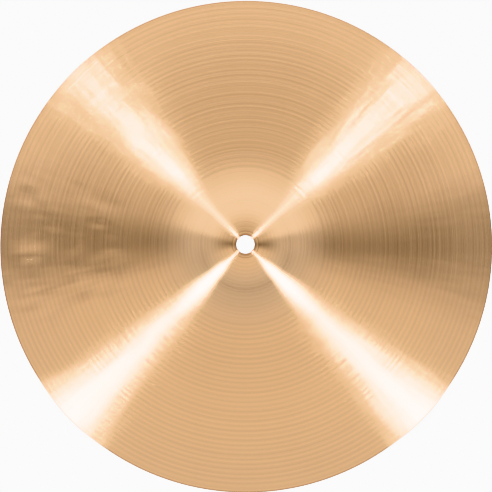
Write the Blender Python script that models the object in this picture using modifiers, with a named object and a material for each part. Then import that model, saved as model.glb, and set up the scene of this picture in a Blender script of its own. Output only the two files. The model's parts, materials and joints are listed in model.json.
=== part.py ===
"""A 14 inch crash cymbal: one turned disc of bronze with a domed bell and a hole through its middle.

Units are metres and +Z is up. The origin is on the cymbal's axis, in the plane that its rim rests on.
"""

import math

import bpy

# Driving dimensions of the disc
CYMBAL_RADIUS = 0.1778  # 14 in across
HOLE_RADIUS = 0.00635  # 1/2 in hole for a stand's rod and its sleeve
SEAT_RADIUS = 0.0095  # flat ring round the hole, where a felt washer bears
BELL_RADIUS = 0.0460  # where the bell's dome would meet the bow, if no hollow curve joined them
SEAT_HEIGHT = 0.0352  # top of the seat, above the plane that the rim rests on
BELL_FILLET_RADIUS = 0.1100  # the long hollow curve from dome to bow
BOW_SPHERE_RADIUS = 0.8300  # the bow is a cap of this sphere

# Thickness of the metal, measured square to the surface
BELL_THICKNESS = 0.0011
RIM_THICKNESS = 0.00078

# Small features
RIM_LAND_INSET = 0.0011  # from the rim in to where the flat land under it starts
EDGE_ROUND = 0.0003  # how far the rim's rounded edge stands out
UPPER_LIP_ROUND = 0.0007  # radius of the hole's upper lip
LOWER_LIP_ROUND = 0.0003  # radius of the hole's lower lip

# Divisions of the turned outline
TURN_STEPS = 96
BELL_STEPS = 7
FILLET_STEPS = 8
BOW_STEPS = 7
EDGE_STEPS = 4
LOWER_LIP_STEPS = 2
UPPER_LIP_STEPS = 3

MERGE_DISTANCE = 0.00001
BRONZE_COLOUR = (0.78, 0.53, 0.29, 1.0)
BRONZE_ROUGHNESS = 0.32


def clear_scene():
    """Remove every object that the scene starts with."""
    for existing in list(bpy.data.objects):
        bpy.data.objects.remove(existing, do_unlink=True)


def arc(centre, radius, start, end, steps):
    """Points (r, z) on a circle, from one angle to another, both ends included."""
    points = []
    for step in range(steps + 1):
        angle = start + (end - start) * step / steps
        points.append((centre[0] + radius * math.cos(angle), centre[1] + radius * math.sin(angle)))
    return points


def sphere_drop(sphere_radius, distance):
    """How far a sphere's surface falls from its top, at a distance from its axis."""
    return sphere_radius - math.sqrt(sphere_radius**2 - distance**2)


def thickness_at(distance):
    """Thickness square to the surface: even over the bell, then tapering to the rim."""
    share = max(0.0, (distance - BELL_RADIUS) / (CYMBAL_RADIUS - BELL_RADIUS))
    return BELL_THICKNESS + (RIM_THICKNESS - BELL_THICKNESS) * share


def angle_from(centre, point):
    """The direction of a point seen from a centre, in radians from the +r direction."""
    return math.atan2(point[1] - centre[1], point[0] - centre[0])


def bow_centre():
    """Centre of the bow's sphere, placed so that the underside reaches z = 0 at the rim's land."""
    land_radius = CYMBAL_RADIUS - RIM_LAND_INSET
    slope = math.asin(land_radius / BOW_SPHERE_RADIUS)
    land_top = thickness_at(land_radius) / math.cos(slope)
    return (0.0, land_top + sphere_drop(BOW_SPHERE_RADIUS, land_radius) - BOW_SPHERE_RADIUS)


def bell_sphere(bow):
    """Centre and radius of the bell's sphere, through the seat's edge and the bow at BELL_RADIUS."""
    foot = bow[1] + BOW_SPHERE_RADIUS - sphere_drop(BOW_SPHERE_RADIUS, BELL_RADIUS)
    squares = SEAT_RADIUS**2 + SEAT_HEIGHT**2 - BELL_RADIUS**2 - foot**2
    centre_height = squares / (2 * (SEAT_HEIGHT - foot))
    return (0.0, centre_height), math.hypot(SEAT_RADIUS, SEAT_HEIGHT - centre_height)


def fillet_centre(bow, bell, bell_sphere_radius):
    """Centre of the circle that touches the bell's and the bow's spheres from outside."""
    to_bell = bell_sphere_radius + BELL_FILLET_RADIUS
    to_bow = BOW_SPHERE_RADIUS + BELL_FILLET_RADIUS
    height = (to_bell**2 - to_bow**2 - bell[1]**2 + bow[1]**2) / (2 * (bow[1] - bell[1]))
    return (math.sqrt(to_bell**2 - (height - bell[1])**2), height)


def top_outline():
    """The upper surface from the seat's outer edge to the rim, as points (r, z)."""
    bow = bow_centre()
    bell, bell_sphere_radius = bell_sphere(bow)
    fillet = fillet_centre(bow, bell, bell_sphere_radius)
    bell_end = angle_from(bell, fillet)
    bow_start = angle_from(bow, fillet)
    dome = arc(bell, bell_sphere_radius, math.acos(SEAT_RADIUS / bell_sphere_radius), bell_end, BELL_STEPS)
    hollow = arc(fillet, BELL_FILLET_RADIUS, bell_end - math.pi, bow_start - math.pi, FILLET_STEPS)
    rim_angle = math.acos((CYMBAL_RADIUS - EDGE_ROUND) / BOW_SPHERE_RADIUS)
    bow_line = arc(bow, BOW_SPHERE_RADIUS, bow_start, rim_angle, BOW_STEPS)
    return dome[:-1] + hollow[:-1] + bow_line


def slopes(outline):
    """The downward slope at each point of an outline, from its neighbours."""
    found = []
    for index in range(len(outline)):
        before = outline[max(index - 1, 0)]
        after = outline[min(index + 1, len(outline) - 1)]
        found.append(math.atan2(before[1] - after[1], after[0] - before[0]))
    return found


def under_outline(top):
    """The lower surface from the rim's land in to the seat, below the upper one by the thickness."""
    land_radius = CYMBAL_RADIUS - RIM_LAND_INSET
    under = [(land_radius, 0.0)]
    for (distance, height), slope in reversed(list(zip(top, slopes(top)))):
        if distance < land_radius:
            under.append((distance, height - thickness_at(distance) / math.cos(slope)))
    seat_height = top[0][1] - BELL_THICKNESS
    under[-1] = (SEAT_RADIUS, seat_height)
    return under


def rim_edge(top_end):
    """The rounded rim from the upper surface down to the flat land, without its end points."""
    half_height = top_end[1] / 2
    points = []
    for step in range(1, EDGE_STEPS):
        angle = math.pi / 2 - math.pi * step / EDGE_STEPS
        reach = CYMBAL_RADIUS - EDGE_ROUND + EDGE_ROUND * math.cos(angle)
        points.append((reach, half_height + half_height * math.sin(angle)))
    return points


def cymbal_outline():
    """The closed section of the disc: out over the top, down the rim, in underneath, up the hole."""
    top = top_outline()
    under = under_outline(top)
    land_end = (CYMBAL_RADIUS - EDGE_ROUND, 0.0)
    lower_centre = (HOLE_RADIUS + LOWER_LIP_ROUND, under[-1][1] + LOWER_LIP_ROUND)
    upper_centre = (HOLE_RADIUS + UPPER_LIP_ROUND, top[0][1] - UPPER_LIP_ROUND)
    lower_lip = arc(lower_centre, LOWER_LIP_ROUND, -math.pi / 2, -math.pi, LOWER_LIP_STEPS)
    upper_lip = arc(upper_centre, UPPER_LIP_ROUND, math.pi, math.pi / 2, UPPER_LIP_STEPS)
    return top + rim_edge(top[-1]) + [land_end] + under + lower_lip + upper_lip


def bronze():
    """Bare lathed bronze."""
    material = bpy.data.materials.new("bronze")
    material.use_nodes = True
    shader = material.node_tree.nodes["Principled BSDF"]
    shader.inputs["Base Color"].default_value = BRONZE_COLOUR
    shader.inputs["Metallic"].default_value = 1.0
    shader.inputs["Roughness"].default_value = BRONZE_ROUGHNESS
    material.diffuse_color = BRONZE_COLOUR
    return material


def turned(name, outline, material, collection):
    """An object made by turning a closed outline once round the Z axis."""
    vertices = [(distance, 0.0, height) for distance, height in outline]
    edges = [(index, (index + 1) % len(vertices)) for index in range(len(vertices))]
    mesh = bpy.data.meshes.new(name)
    mesh.from_pydata(vertices, edges, [])
    mesh.materials.append(material)
    piece = bpy.data.objects.new(name, mesh)
    collection.objects.link(piece)
    screw = piece.modifiers.new("turning", "SCREW")
    screw.axis = "Z"
    screw.angle = 2 * math.pi
    screw.steps = TURN_STEPS
    screw.render_steps = TURN_STEPS
    screw.use_smooth_shade = True
    screw.use_merge_vertices = True
    screw.merge_threshold = MERGE_DISTANCE
    return piece


def main():
    clear_scene()
    collection = bpy.data.collections.new("crash_cymbal")
    bpy.context.scene.collection.children.link(collection)
    turned("cymbal", cymbal_outline(), bronze(), collection)


main()
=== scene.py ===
"""The looks of a 14 inch crash cymbal: bare bronze, hammered and turned, under strip softboxes."""

import json
import math

import bpy
import numpy as np
from mathutils import Matrix, Vector

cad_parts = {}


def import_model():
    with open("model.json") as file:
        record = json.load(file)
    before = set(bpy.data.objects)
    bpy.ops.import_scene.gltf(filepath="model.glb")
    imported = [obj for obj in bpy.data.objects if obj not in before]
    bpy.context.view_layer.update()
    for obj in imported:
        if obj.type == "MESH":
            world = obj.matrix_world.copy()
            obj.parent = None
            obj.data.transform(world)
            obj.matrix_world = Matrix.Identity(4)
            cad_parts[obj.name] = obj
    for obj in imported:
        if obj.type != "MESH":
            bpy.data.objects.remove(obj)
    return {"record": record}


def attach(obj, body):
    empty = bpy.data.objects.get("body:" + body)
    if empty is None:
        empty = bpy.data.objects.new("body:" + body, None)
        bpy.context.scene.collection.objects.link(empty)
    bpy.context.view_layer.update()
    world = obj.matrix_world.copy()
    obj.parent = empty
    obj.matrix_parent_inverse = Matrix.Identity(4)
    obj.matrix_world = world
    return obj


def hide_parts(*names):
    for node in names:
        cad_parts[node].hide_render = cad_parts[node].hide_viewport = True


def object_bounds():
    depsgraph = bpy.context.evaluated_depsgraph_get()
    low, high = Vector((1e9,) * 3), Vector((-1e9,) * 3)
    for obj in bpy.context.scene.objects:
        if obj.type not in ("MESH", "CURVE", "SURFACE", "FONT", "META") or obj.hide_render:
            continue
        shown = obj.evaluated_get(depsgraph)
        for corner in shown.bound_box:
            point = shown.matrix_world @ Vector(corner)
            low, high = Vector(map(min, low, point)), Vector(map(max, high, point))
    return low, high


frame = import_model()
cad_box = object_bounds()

# The disc, as the frame gives it
RIM_RADIUS = float(cad_box[1][0])
MOUNTS = {mount["name"]: mount for mount in frame["record"]["mounts"]}
SEAT_TOP = MOUNTS["bell_top_seat"]["pos_m"][2]
SEAT_UNDER = MOUNTS["bell_underside_seat"]["pos_m"][2]
BELL_THICKNESS = SEAT_TOP - SEAT_UNDER

# The disc's driving dimensions that the frame doesn't state, in metres
HOLE_RADIUS = 0.00635
SEAT_RADIUS = 0.0095
BELL_RADIUS = 0.0460
BELL_FILLET_RADIUS = 0.1100
BOW_SPHERE_RADIUS = 0.8300
RIM_THICKNESS = 0.00078
RIM_LAND_INSET = 0.0011
EDGE_ROUND = 0.0003
UPPER_LIP_ROUND = 0.0007
LOWER_LIP_ROUND = 0.0003

# How finely the surface is divided
FINE_HALF_ANGLE = 30  # degrees either side of -X, where the dents are
FINE_STEPS = 96  # over the dented side
COARSE_STEPS = 160  # over the rest of the turn
TURN_STEPS = COARSE_STEPS + FINE_STEPS
TOP_STEP = 0.00058
UNDER_STEP = 0.0030
LIP_STEPS = 6
SLOPE_STEP = 0.0001  # how far apart two heights are taken, to find a slope

# Lathe rings, in metres
RINGS_START = 0.0550
RINGS_END_INSET = 0.001
RING_PITCH = 0.00345
RING_DEPTH = 0.000015
RING_EVENNESS = (0.95, 1.05)  # share of the pitch
RING_FULLNESS = (0.7, 1.0)  # share of the depth
BELL_RING_PITCH = 0.0026
BELL_RING_DEPTH = 0.000008

# Hammer marks on the bow, in metres
HAMMER_MARKS = 420
HAMMER_WIDTH = (0.0060, 0.0095)
HAMMER_DEPTH = (0.000004, 0.00002)
HAMMER_FORCE = 1.2  # share of the depth, on average round the disc
HAMMER_FORCE_LEFT = 0.5  # how much more of it on the -X side
HAMMER_INSET = 0.004
HAMMER_FADE = 0.012  # how wide the hammering's inner edge is

# Hammer marks and dents fade to nothing near the rim
RIM_QUIET = 0.0015
RIM_FADE = 0.006

# Small dents that lie along the radius on the -X side, in metres and degrees, and the deepest one
DENTS = 80
DENT_AWAY = (0.090, 0.168)
DENT_TURN = (160, 200)
DENT_LONG = (0.003, 0.008)
DENT_WIDE = (0.0020, 0.0045)
DENT_DEPTH = (0.00001, 0.00005)
DEEPEST_DENT = dict(away=0.156, turn=math.radians(182.3), long=0.0085, wide=0.0044)
DEEPEST_DEPTH = 0.00034

# How the bronze's surface leans. Fine grooves lean it along the radius, as a slope
BOW_BLEND = (RINGS_START - 0.015, RINGS_START + 0.005)  # from the bell's grooves to the bow's
FINE_PITCH = 0.00017
FINE_SLOPE = 0.8
BELL_FINE_SLOPE = 0.5
SEAT_FINE_SHARE = 0.7
SEAT_BLEND = (0.010, 0.026)

# Streaks lean it round the axis, more so on the dented side
STREAK_SLOPE = 0.026
STREAK_TURN_SCALE = 26.0
STREAK_PLACE_SCALE = 30.0
DENT_STREAK_SLOPE = 0.022
DENT_STREAK_FACING = (0.90, 0.98)
DENT_STREAK_AWAY = (0.080, 0.110)

# The bronze's colour and roughness, how fine grooves and patches of wear change them, and the painted
# shade in the lathe rings and on the bell's flank
BRONZE = (0.80, 0.487, 0.256)
ROUGHNESS = 0.11
# Painted shade: the lathe rings' scoops are darker, and the rest is lighter so the average stays
RING_SHADE = 0.08
RING_SHADE_MEAN = 0.4  # share of it that is given back, so that rings leave the average as it is
GROOVE_PITCH = 0.0013
GROOVE_TONE = 0.02
GROOVE_ROUGHNESS = 0.02
PATCH_SCALE = 22.0
PATCH_TONE = 0.05
PATCH_ROUGHNESS = 0.03
# Painted shade on the bell's flank, where it turns into the bow
FLANK_SHADE = 0.04
FLANK_START = (0.030, 0.044)
FLANK_END = (0.056, 0.072)

# Painted shade at the hole's lip, the seat's edge and the rim: its share and where it fades
EDGE_SHADE = (0.30, 0.125, 0.065)
LIP_SHADE = 0.55
LIP_FADE = (HOLE_RADIUS + 0.0004, SEAT_RADIUS - 0.0006)
SEAT_SHADE = 0.42
SEAT_SHADE_WIDTH = 0.0006
RIM_SHADE = 0.55
RIM_SHADE_FADE = (RIM_RADIUS - 0.0014, RIM_RADIUS - 0.0003)

# The camera: how wide the frame is at the floor, in metres, and how far it stands off the axis
FRAME_WIDTH = 0.35535
CAMERA_TILT = math.radians(1.84)
CAMERA_LEAN = math.radians(0.65)
CAMERA_LENS = 200
CAMERA_SENSOR = 36

# The strip softboxes: distance in metres, the slope that mirrors them and their sizes in degrees, radiance
STRIP_DISTANCE = 1.5
STRIP_FALLOFF = 12
UPPER_AZIMUTHS = (44, 134)
LOWER_AZIMUTHS = (224.2, 316)
UPPER_LOW = dict(mirror=5.5, along=7, across=18.5, radiance=190)
UPPER_HIGH = dict(mirror=22.5, along=54, across=30, radiance=3.6)
LOWER_LOW = dict(mirror=8, along=17, across=16, radiance=22)
LOWER_MID = dict(mirror=15, along=12, across=16, radiance=60)
LOWER_HIGH = dict(mirror=27, along=34, across=29, radiance=115)
STRIP_COLOUR = (0.71, 0.84, 1.0)

# The studio round them, by direction. A slant is in degrees off the zenith. A facing runs from -1 to 1,
# along Y, which is up in the camera's view, unless it is named for X
ZENITH = 0.72
ZENITH_SLANT = (0, 7)
HIGH_SLANT = (22, 46)
LOW_SKY = 0.28  # share of the studio's light that is left near the floor
LOW_SLANT = (55, 72)
COOL = (-0.07, 0.0, 0.12)
SKY_SEEN = 2.0

# Its open walls: their radiance, then what is brighter or darker on them
WALL = 0.82
WALL_FACING = (-0.05, 0.41)
UP_WALL = 0.88
UP_FACING = (0.2, 0.4)
UP_GLOW = 0.05
UP_GLOW_FACING = (0.5, 1.0)
UP_PANEL = 0.87
UP_PANEL_FACING = (0.08, 0.36)
DOWN_WALL = 0.86
DOWN_REACH = (-0.45, -0.15)
DOWN_GLOW = 0.16
DOWN_GLOW_SLANT = (18, 56)
DOWN_GLOW_FACING = (-0.4, 0.0)

# Its darker walls to the left and right
SIDE_DARK = 0.27
SIDE_HIGH = 0.92
SIDE_SKEW = 0.022
LEFT_GLOW = 0.10
LEFT_GLOW_X_FACING = (-0.9, -0.5)
LEFT_GLOW_START = (16, 24)
LEFT_GLOW_END = (26, 36)

# The floor
FLOOR_SIZE = 12
FLOOR_SEEN = 2.0
FLOOR_GLOW = 0.1
FLOOR_ALBEDO = (0.036, 0.030, 0.023, 1)
FLOOR_ROUGHNESS = 0.9

SEED = 14


def arc(centre, radius, start, end, steps):
    """Points (r, z) on a circle, from one angle to another, both ends included."""
    angles = np.linspace(start, end, steps + 1)
    return np.stack([centre[0] + radius * np.cos(angles), centre[1] + radius * np.sin(angles)], axis=1)


def sphere_height(centre_height, sphere_radius, distance):
    """Height of a sphere's upper side, at a distance from its axis."""
    return centre_height + np.sqrt(sphere_radius**2 - np.square(distance))


def thickness_at(distance):
    """Thickness square to the surface: even over the bell, then tapering to the rim."""
    share = np.clip((distance - BELL_RADIUS) / (RIM_RADIUS - BELL_RADIUS), 0, 1)
    return BELL_THICKNESS + (RIM_THICKNESS - BELL_THICKNESS) * share


class Section:
    """The heights of the disc's upper and lower surfaces at any distance from the axis."""

    def __init__(self):
        self.land_radius = RIM_RADIUS - RIM_LAND_INSET
        slope = math.asin(self.land_radius / BOW_SPHERE_RADIUS)
        land_top = float(thickness_at(self.land_radius)) / math.cos(slope)
        self.bow = land_top - math.sqrt(BOW_SPHERE_RADIUS**2 - self.land_radius**2)
        foot = float(sphere_height(self.bow, BOW_SPHERE_RADIUS, BELL_RADIUS))
        squares = SEAT_RADIUS**2 + SEAT_TOP**2 - BELL_RADIUS**2 - foot**2
        self.bell = squares / (2 * (SEAT_TOP - foot))
        self.bell_sphere = math.hypot(SEAT_RADIUS, SEAT_TOP - self.bell)
        to_bell = self.bell_sphere + BELL_FILLET_RADIUS
        to_bow = BOW_SPHERE_RADIUS + BELL_FILLET_RADIUS
        squares = to_bell**2 - to_bow**2 - self.bell**2 + self.bow**2
        self.fillet_z = squares / (2 * (self.bow - self.bell))
        self.fillet_r = math.sqrt(to_bell**2 - (self.fillet_z - self.bell)**2)
        self.bell_end = self.fillet_r * self.bell_sphere / to_bell
        self.bow_start = self.fillet_r * BOW_SPHERE_RADIUS / to_bow

    def top(self, distance):
        """Height of the smooth upper surface, before any rings."""
        distance = np.asarray(distance, float)
        across = np.clip(distance - self.fillet_r, -BELL_FILLET_RADIUS, BELL_FILLET_RADIUS)
        hollow = self.fillet_z - np.sqrt(BELL_FILLET_RADIUS**2 - np.square(across))
        dome = sphere_height(self.bell, self.bell_sphere, np.minimum(distance, self.bell_end))
        bow = sphere_height(self.bow, BOW_SPHERE_RADIUS, distance)
        height = np.where(distance < self.bell_end, dome, np.where(distance < self.bow_start, hollow, bow))
        return np.where(distance < SEAT_RADIUS, SEAT_TOP, height)

    def slope(self, distance):
        """The upper surface's downward slope."""
        fall = self.top(distance - SLOPE_STEP) - self.top(distance + SLOPE_STEP)
        return fall / (2 * SLOPE_STEP)

    def under(self, distance):
        """Height of the lower surface, which keeps the metal's thickness below the upper one."""
        distance = np.asarray(distance, float)
        drop = thickness_at(distance) * np.sqrt(1 + np.square(self.slope(distance)))
        height = self.top(distance) - drop
        height = np.where(distance < SEAT_RADIUS, SEAT_UNDER, height)
        return np.where(distance > self.land_radius, 0.0, np.maximum(height, 0.0))


def scoops(distance, start, end, pitch, depth, rng):
    """Depth of a run of lathe rings: each one a shallow scoop between two low ridges."""
    edges = [start]
    while edges[-1] < end:
        edges.append(edges[-1] + pitch * rng.uniform(*RING_EVENNESS))
    edges = np.array(edges)
    edges[-1] = end
    which = np.clip(np.searchsorted(edges, distance, side="right") - 1, 0, len(edges) - 2)
    share = (distance - edges[which]) / (edges[which + 1] - edges[which])
    depths = depth * rng.uniform(*RING_FULLNESS, len(edges))
    return depths[which] * np.square(np.sin(math.pi * np.clip(share, 0, 1)))


def outline(section, rng):
    """The closed section as (r, z): out over the top, down the rim, in underneath, up the hole.

    Also gives how deep in a lathe ring each of its points is, as a share of RING_DEPTH, for the painted
    shade in the rings.
    """
    seat_in = HOLE_RADIUS + UPPER_LIP_ROUND
    top_end = RIM_RADIUS - EDGE_ROUND
    top_r = np.linspace(seat_in, top_end, int((top_end - seat_in) / TOP_STEP) + 2)
    rings = scoops(top_r, RINGS_START, RIM_RADIUS - RINGS_END_INSET, RING_PITCH, RING_DEPTH, rng)
    rings += scoops(top_r, SEAT_RADIUS, RINGS_START, BELL_RING_PITCH, BELL_RING_DEPTH, rng)
    top_z = section.top(top_r) - rings
    top = np.stack([top_r, top_z], axis=1)
    half = top_z[-1] / 2
    turn = np.linspace(math.pi / 2, -math.pi / 2, LIP_STEPS + 1)[1:-1]
    edge = np.stack([top_end + EDGE_ROUND * np.cos(turn), half + half * np.sin(turn)], axis=1)
    under_in = HOLE_RADIUS + LOWER_LIP_ROUND
    under_steps = int((section.land_radius - under_in) / UNDER_STEP) + 2
    inner = np.linspace(section.land_radius, under_in, under_steps)
    under_r = np.concatenate([[top_end], inner])
    under = np.stack([under_r, section.under(under_r)], axis=1)
    lower_centre = (under_in, SEAT_UNDER + LOWER_LIP_ROUND)
    upper_centre = (seat_in, SEAT_TOP - UPPER_LIP_ROUND)
    lower = arc(lower_centre, LOWER_LIP_ROUND, -math.pi / 2, -math.pi, LIP_STEPS)
    upper = arc(upper_centre, UPPER_LIP_ROUND, math.pi, math.pi / 2, LIP_STEPS)
    line = np.concatenate([top, edge, under, lower[1:], upper[:-1]])
    ring_shade_share = np.zeros(len(line))
    ring_shade_share[:len(top)] = rings / RING_DEPTH
    return line, ring_shade_share


def pressed_by(x, y, away, turn, long, wide):
    """Share of its depth that one oval dent, lying along the radius, reaches at each place."""
    out = x * math.cos(turn) + y * math.sin(turn) - away
    aside = y * math.cos(turn) - x * math.sin(turn)
    return np.exp(-np.square(out / long) / 2 - np.square(aside / wide) / 2)


def dents(x, y, rng):
    """How far the dents of use have pressed the -X side down."""
    pressed = DEEPEST_DEPTH * pressed_by(x, y, **DEEPEST_DENT)
    for _ in range(DENTS):
        away = rng.uniform(*DENT_AWAY)
        turn = math.radians(rng.uniform(*DENT_TURN))
        long = rng.uniform(*DENT_LONG)
        wide = rng.uniform(*DENT_WIDE)
        pressed += rng.uniform(*DENT_DEPTH) * pressed_by(x, y, away, turn, long, wide)
    return pressed * rim_fade(np.hypot(x, y))


def rim_fade(distance):
    """One over the bow, falling to nothing just inside the rim."""
    return np.clip((RIM_RADIUS - RIM_QUIET - distance) / RIM_FADE, 0, 1)


def hammering(x, y, rng):
    """How far the hammer has pressed the bow down at each place: many shallow round dents."""
    distance = np.hypot(x, y)
    pressed = np.zeros_like(distance)
    outer = RIM_RADIUS - HAMMER_INSET
    for _ in range(HAMMER_MARKS):
        away = math.sqrt(rng.uniform(RINGS_START**2, outer**2))
        turn = rng.uniform(0, 2 * math.pi)
        width = rng.uniform(*HAMMER_WIDTH)
        depth = rng.uniform(*HAMMER_DEPTH) * (HAMMER_FORCE - HAMMER_FORCE_LEFT * math.cos(turn))
        pressed += depth * pressed_by(x, y, away, turn, width, width)
    fade_in = np.clip((distance - RINGS_START) / HAMMER_FADE, 0, 1)
    return (pressed - pressed[distance > RINGS_START].mean()) * fade_in * rim_fade(distance)


def turned_mesh(name, line, ring_shade_share, rng):
    """A closed mesh made by turning a closed outline once round the Z axis, then hammering it."""
    rings = len(line)
    fine_start = 180 - FINE_HALF_ANGLE
    fine_end = 180 + FINE_HALF_ANGLE
    coarse = np.linspace(-fine_start, fine_start, COARSE_STEPS, endpoint=False)
    fine = np.linspace(fine_start, fine_end, FINE_STEPS, endpoint=False)
    angles = np.radians(np.concatenate([coarse, fine]))
    points = np.empty((rings, TURN_STEPS, 3))
    points[..., 0] = line[:, :1] * np.cos(angles)
    points[..., 1] = line[:, :1] * np.sin(angles)
    points[..., 2] = line[:, 1:] - hammering(points[..., 0], points[..., 1], rng)
    points[..., 2] -= dents(points[..., 0], points[..., 1], rng)
    ring, step = np.meshgrid(np.arange(rings), np.arange(TURN_STEPS), indexing="ij")
    next_ring = (ring + 1) % rings
    next_step = (step + 1) % TURN_STEPS
    corners = [ring * TURN_STEPS + step, next_ring * TURN_STEPS + step]
    corners += [next_ring * TURN_STEPS + next_step, ring * TURN_STEPS + next_step]
    faces = np.stack([c.ravel() for c in corners], axis=1)
    mesh = bpy.data.meshes.new(name)
    mesh.from_pydata(points.reshape(-1, 3).tolist(), [], faces.tolist())
    # How deep each point lies in a lathe ring, which the bronze turns into painted shade
    groove = mesh.attributes.new("groove", "FLOAT", "POINT")
    groove.data.foreach_set("value", np.repeat(ring_shade_share, TURN_STEPS))
    mesh.shade_smooth()
    mesh.update()
    return mesh


def node(tree, kind, **settings):
    """A new shader node with its settings."""
    made = tree.nodes.new(kind)
    for key, value in settings.items():
        setattr(made, key, value)
    return made


def feed(tree, socket, value):
    """Give a socket its value: another node's output, or a constant."""
    if isinstance(value, bpy.types.NodeSocket):
        tree.links.new(value, socket)
    else:
        socket.default_value = value


def maths(tree, operation, *inputs):
    """The result of one step of arithmetic on numbers."""
    made = node(tree, "ShaderNodeMath", operation=operation)
    for socket, value in zip(made.inputs, inputs):
        feed(tree, socket, value)
    return made.outputs[0]


def vector(tree, operation, *inputs, scale=None):
    """The result of one step of arithmetic on vectors."""
    made = node(tree, "ShaderNodeVectorMath", operation=operation)
    for socket, value in zip(made.inputs, inputs):
        feed(tree, socket, value)
    if scale is not None:
        feed(tree, made.inputs["Scale"], scale)
    return made.outputs["Value"] if operation in ("LENGTH", "DOT_PRODUCT") else made.outputs[0]


def noise(tree, kind, where, scale, detail=2.0):
    """Noise centred on zero, about half a unit either way."""
    made = node(tree, "ShaderNodeTexNoise", noise_dimensions=kind)
    feed(tree, made.inputs["W" if kind == "1D" else "Vector"], where)
    made.inputs["Scale"].default_value = scale
    made.inputs["Detail"].default_value = detail
    return maths(tree, "SUBTRACT", made.outputs[0], 0.5)


def step_up(tree, value, low, high, to_low=0.0, to_high=1.0):
    """A smooth change from one level to another as the value passes from low to high."""
    made = node(tree, "ShaderNodeMapRange", interpolation_type="SMOOTHSTEP")
    for socket, given in zip(made.inputs, (value, low, high, to_low, to_high)):
        feed(tree, socket, given)
    return made.outputs[0]


def mix(tree, share, low, high):
    """Low where the share is 0, high where it is 1."""
    return maths(tree, "MULTIPLY_ADD", share, maths(tree, "SUBTRACT", high, low), low)


def tint(tree, colour, factor):
    """A colour made lighter or darker by a factor."""
    return vector(tree, "SCALE", colour, scale=factor)


def grooved_normal(tree, place, distance, heading):
    """The surface's normal, leaned along the radius by fine grooves and round the axis by streaks."""
    around = node(tree, "ShaderNodeTangent", direction_type="RADIAL", axis="Z").outputs[0]
    normal = node(tree, "ShaderNodeNewGeometry").outputs["Normal"]
    outward = vector(tree, "CROSS_PRODUCT", around, normal)

    slope = mix(tree, step_up(tree, distance, *BOW_BLEND), BELL_FINE_SLOPE, FINE_SLOPE)
    seat_share = step_up(tree, distance, *SEAT_BLEND, SEAT_FINE_SHARE, 1.0)
    slope = maths(tree, "MULTIPLY", slope, seat_share)
    lean = maths(tree, "MULTIPLY", noise(tree, "1D", distance, 1 / FINE_PITCH, 1.0), slope)

    by_turn = vector(tree, "SCALE", heading, scale=STREAK_TURN_SCALE)
    by_place = vector(tree, "SCALE", place, scale=STREAK_PLACE_SCALE)
    swirl = vector(tree, "ADD", by_turn, by_place)
    left = vector(tree, "DOT_PRODUCT", heading, (-1, 0, 0))
    dented = step_up(tree, left, *DENT_STREAK_FACING)
    dented = maths(tree, "MULTIPLY", dented, step_up(tree, distance, *DENT_STREAK_AWAY))
    streaked = maths(tree, "MULTIPLY_ADD", dented, DENT_STREAK_SLOPE, STREAK_SLOPE)
    streaked = maths(tree, "MULTIPLY", streaked, maths(tree, "DIVIDE", distance, RIM_RADIUS))
    streaks = maths(tree, "MULTIPLY", noise(tree, "3D", swirl, 1.0, 2.0), streaked)

    leaned = vector(tree, "ADD", normal, vector(tree, "SCALE", outward, scale=lean))
    leaned = vector(tree, "ADD", leaned, vector(tree, "SCALE", around, scale=streaks))
    return vector(tree, "NORMALIZE", leaned)


def edge_shade_share(tree, distance):
    """How much of the surface's colour is painted shade: at the hole's lip, the seat's edge and the rim.
    """
    # Painted shade at the hole's lip, the seat's edge and the rim
    lip = step_up(tree, distance, *LIP_FADE, LIP_SHADE, 0.0)
    off_edge = maths(tree, "ABSOLUTE", maths(tree, "SUBTRACT", distance, SEAT_RADIUS))
    seat_edge = step_up(tree, off_edge, 0.0, SEAT_SHADE_WIDTH, SEAT_SHADE, 0.0)
    rim = step_up(tree, distance, *RIM_SHADE_FADE, 0.0, RIM_SHADE)
    return maths(tree, "ADD", maths(tree, "MAXIMUM", lip, seat_edge), rim)


def shaded_and_worn_colour(tree, distance, grooves, patches):
    """The bronze's colour: uneven from wear, with painted shade in the rings, on the bell's flank and at
    the hole's lip, the seat's edge and the rim.
    """
    ring_shade = node(tree, "ShaderNodeAttribute", attribute_name="groove").outputs["Fac"]
    # Painted shade in the lathe rings, given back elsewhere so the average stays
    wear_and_shade = maths(tree, "MULTIPLY_ADD", ring_shade, -RING_SHADE, 1.0 + RING_SHADE_MEAN * RING_SHADE)
    wear_and_shade = maths(tree, "MULTIPLY_ADD", grooves, GROOVE_TONE, wear_and_shade)
    wear_and_shade = maths(tree, "MULTIPLY_ADD", patches, PATCH_TONE, wear_and_shade)
    # Painted shade on the bell's flank
    flank_end = step_up(tree, distance, *FLANK_END, 1.0, 0.0)
    flank_shade = maths(tree, "MULTIPLY", step_up(tree, distance, *FLANK_START), flank_end)
    wear_and_shade = maths(tree, "MULTIPLY_ADD", flank_shade, -FLANK_SHADE, wear_and_shade)
    # Painted shade at the hole's lip, the seat's edge and the rim
    edge_shaded = edge_shade_share(tree, distance)
    clean = tint(tree, tint(tree, BRONZE, wear_and_shade), maths(tree, "SUBTRACT", 1.0, edge_shaded))
    return vector(tree, "ADD", clean, tint(tree, EDGE_SHADE, edge_shaded))


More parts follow.
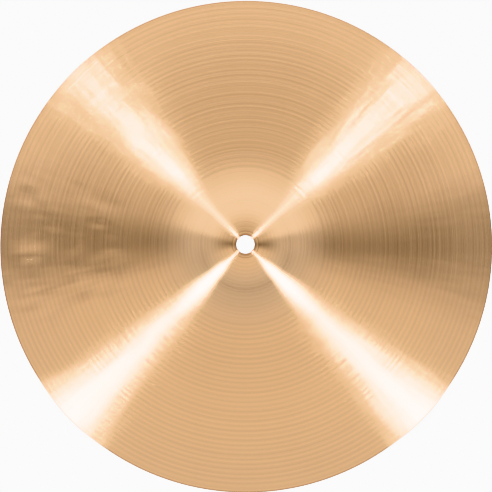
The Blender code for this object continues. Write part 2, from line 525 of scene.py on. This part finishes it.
def bronze():
    """Bare bronze whose fine lathe grooves spread reflections along the radius."""
    material = bpy.data.materials.new("lathed_bronze")
    material.use_nodes = True
    tree = material.node_tree
    shader = tree.nodes["Principled BSDF"]
    shader.inputs["Metallic"].default_value = 1.0
    shader.inputs["Anisotropic"].default_value = 1.0
    shader.inputs["Anisotropic Rotation"].default_value = 0.25

    place = node(tree, "ShaderNodeTexCoord").outputs["Object"]
    flat = vector(tree, "MULTIPLY", place, (1, 1, 0))
    distance = vector(tree, "LENGTH", flat)
    heading = vector(tree, "NORMALIZE", flat)
    feed(tree, shader.inputs["Normal"], grooved_normal(tree, place, distance, heading))

    grooves = noise(tree, "1D", distance, 1 / GROOVE_PITCH, 1.0)
    patches = noise(tree, "3D", place, PATCH_SCALE, 3.0)
    feed(tree, shader.inputs["Base Color"], shaded_and_worn_colour(tree, distance, grooves, patches))
    rough = maths(tree, "MULTIPLY_ADD", patches, PATCH_ROUGHNESS, ROUGHNESS)
    rough = maths(tree, "MULTIPLY_ADD", grooves, GROOVE_ROUGHNESS, rough)
    feed(tree, shader.inputs["Roughness"], rough)
    return material


def toward_camera():
    """The direction from the disc to the camera."""
    return Vector((math.tan(CAMERA_LEAN), -math.tan(CAMERA_TILT), 1)).normalized()


def mirrored(azimuth, slope):
    """Where a surface that slopes down toward an azimuth reflects the camera's view."""
    turn = math.radians(azimuth)
    tip = math.radians(slope)
    normal = Vector((math.sin(tip) * math.cos(turn), math.sin(tip) * math.sin(turn), math.cos(tip)))
    view = toward_camera()
    return (2 * normal.dot(view) * normal - view).normalized()


def strip(name, azimuth, mirror, along, across, radiance):
    """A strip softbox that looks at the disc, seen by the camera along one radius of the disc."""
    place = mirrored(azimuth, mirror)
    off_zenith = math.sin(math.radians(2 * mirror))
    light = bpy.data.lights.new(name, "AREA")
    light.shape = "RECTANGLE"
    light.size = 2 * STRIP_DISTANCE * off_zenith * math.tan(math.radians(across / 2))
    light.size_y = 2 * STRIP_DISTANCE * math.tan(math.radians(along / 2))
    light.energy = radiance * math.pi * light.size * light.size_y
    light.color = STRIP_COLOUR

    # The strip is brightest along its middle line and fades to nothing at both long edges
    light.use_nodes = True
    tree = light.node_tree
    face = node(tree, "ShaderNodeSeparateXYZ")
    feed(tree, face.inputs[0], node(tree, "ShaderNodeNewGeometry").outputs["Parametric"])
    off = maths(tree, "MULTIPLY_ADD", face.outputs["X"], 2.0, -1.0)
    soft = maths(tree, "SUBTRACT", 1.0, maths(tree, "MULTIPLY", off, off))
    feed(tree, tree.nodes["Emission"].inputs["Strength"], maths(tree, "POWER", soft, STRIP_FALLOFF))

    lamp = bpy.data.objects.new(name, light)
    bpy.context.scene.collection.objects.link(lamp)
    lengthwise = mirrored(azimuth, mirror + 1) - mirrored(azimuth, mirror - 1)
    right = lengthwise.cross(place).normalized()
    up = place.cross(right)
    lamp.location = place * STRIP_DISTANCE
    lamp.rotation_euler = Matrix((right, up, place)).transposed().to_euler()


def strips():
    """Two strips for each upper arm of light, and three for each lower one."""
    for azimuth in UPPER_AZIMUTHS:
        strip(f"strip_{azimuth}_near", azimuth, **UPPER_LOW)
        strip(f"strip_{azimuth}_far", azimuth, **UPPER_HIGH)
    for azimuth in LOWER_AZIMUTHS:
        strip(f"strip_{azimuth}_near", azimuth, **LOWER_LOW)
        strip(f"strip_{azimuth}_middle", azimuth, **LOWER_MID)
        strip(f"strip_{azimuth}_far", azimuth, **LOWER_HIGH)


def camera():
    """A long lens almost straight above the disc."""
    data = bpy.data.cameras.new("camera")
    data.lens = CAMERA_LENS
    data.sensor_width = CAMERA_SENSOR
    view = bpy.data.objects.new("camera", data)
    bpy.context.scene.collection.objects.link(view)
    bpy.context.scene.camera = view
    back = toward_camera()
    view.location = back * FRAME_WIDTH * data.lens / data.sensor_width
    right = Vector((0, 1, 0)).cross(back).normalized()
    up = back.cross(right)
    view.rotation_euler = Matrix((right, up, back)).transposed().to_euler()


def floor():
    """A plain pale floor that the camera sees as white and the bronze hardly reflects."""
    bpy.ops.mesh.primitive_plane_add(size=FLOOR_SIZE, location=(0, 0, 0))
    ground = bpy.context.object
    ground.name = "floor"
    material = bpy.data.materials.new("floor")
    material.use_nodes = True
    tree = material.node_tree
    shader = tree.nodes["Principled BSDF"]
    shader.inputs["Base Color"].default_value = FLOOR_ALBEDO
    shader.inputs["Roughness"].default_value = FLOOR_ROUGHNESS
    shader.inputs["Emission Color"].default_value = (1, 1, 1, 1)
    seen = node(tree, "ShaderNodeLightPath").outputs["Is Camera Ray"]
    glow = maths(tree, "MULTIPLY_ADD", seen, FLOOR_SEEN - FLOOR_GLOW, FLOOR_GLOW)
    feed(tree, shader.inputs["Emission Strength"], glow)
    ground.data.materials.append(material)


def by_slant(tree, side, slant, to_low=0.0, to_high=1.0):
    """A smooth change between two slants, where side is the sine of a direction's slant."""
    low, high = (math.sin(math.radians(degrees)) for degrees in slant)
    return step_up(tree, side, low, high, to_low, to_high)


def open_walls(tree, side, depth, high):
    """Radiance of the walls in front and behind."""
    down = step_up(tree, maths(tree, "MULTIPLY", depth, side), *DOWN_REACH, 1.0, 0.0)
    wall = mix(tree, down, WALL, DOWN_WALL)
    wall = maths(tree, "MULTIPLY", wall, step_up(tree, depth, *UP_FACING, 1.0, UP_WALL))
    wall = maths(tree, "ADD", wall, step_up(tree, depth, *UP_GLOW_FACING, 0.0, UP_GLOW))
    panel = maths(tree, "MULTIPLY", high, step_up(tree, depth, *UP_PANEL_FACING))
    wall = maths(tree, "MULTIPLY_ADD", panel, UP_PANEL, wall)
    near = by_slant(tree, side, DOWN_GLOW_SLANT, 1.0, 0.0)
    near = maths(tree, "MULTIPLY", near, step_up(tree, depth, *DOWN_GLOW_FACING, 1.0, 0.0))
    return maths(tree, "MULTIPLY_ADD", near, DOWN_GLOW, wall)


def dark_walls(tree, side, across, high):
    """Radiance of the walls to the left and right, with a weak glow on the left one."""
    left = step_up(tree, across, *LEFT_GLOW_X_FACING, 1.0, 0.0)
    left = maths(tree, "MULTIPLY", left, by_slant(tree, side, LEFT_GLOW_START))
    left = maths(tree, "MULTIPLY", left, by_slant(tree, side, LEFT_GLOW_END, 1.0, 0.0))
    dark = mix(tree, high, SIDE_DARK, SIDE_HIGH)
    return maths(tree, "MULTIPLY_ADD", left, LEFT_GLOW, dark)


def world():
    """A pale studio: open walls in front and behind, darker ones to the left and right."""
    scene_world = bpy.data.worlds.new("studio")
    bpy.context.scene.world = scene_world
    scene_world.use_nodes = True
    tree = scene_world.node_tree
    shade = tree.nodes["Background"]

    toward = vector(tree, "NORMALIZE", node(tree, "ShaderNodeTexCoord").outputs["Generated"])
    middle = mirrored(0, 0)
    off_middle = vector(tree, "SUBTRACT", toward, (middle.x, middle.y, 0))
    flat = vector(tree, "MULTIPLY", off_middle, (1, 1, 0))
    side = vector(tree, "LENGTH", flat)
    heading = node(tree, "ShaderNodeSeparateXYZ")
    feed(tree, heading.inputs[0], vector(tree, "NORMALIZE", flat))
    across = heading.outputs["X"]
    depth = heading.outputs["Y"]

    off_axis = maths(tree, "MULTIPLY_ADD", across, SIDE_SKEW, -SIDE_SKEW)
    off_axis = maths(tree, "ABSOLUTE", maths(tree, "ADD", depth, off_axis))
    in_open = step_up(tree, off_axis, *WALL_FACING)
    high = by_slant(tree, side, HIGH_SLANT)
    overhead = by_slant(tree, side, LOW_SLANT, 1.0, 0.0)
    dark = dark_walls(tree, side, across, high)
    level = mix(tree, in_open, dark, open_walls(tree, side, depth, high))
    level = maths(tree, "MULTIPLY", level, mix(tree, overhead, LOW_SKY, 1.0))
    level = mix(tree, by_slant(tree, side, ZENITH_SLANT), ZENITH, level)

    seen = node(tree, "ShaderNodeLightPath").outputs["Is Camera Ray"]
    feed(tree, shade.inputs["Strength"], mix(tree, seen, level, SKY_SEEN))
    cool = vector(tree, "SCALE", COOL, scale=maths(tree, "MULTIPLY", high, overhead))
    feed(tree, shade.inputs["Color"], vector(tree, "ADD", (1, 1, 1), cool))


def main():
    """Build the one visual piece, then the studio round it."""
    rng = np.random.default_rng(SEED)
    line, ring_shade_share = outline(Section(), rng)
    piece = bpy.data.objects.new("lathed_cymbal", turned_mesh("lathed_cymbal", line, ring_shade_share, rng))
    bpy.context.scene.collection.objects.link(piece)
    piece.data.materials.append(bronze())
    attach(piece, "root")
    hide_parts("cymbal")
    floor()
    world()
    strips()
    camera()
    bpy.context.scene.view_settings.view_transform = "Khronos PBR Neutral"


main()
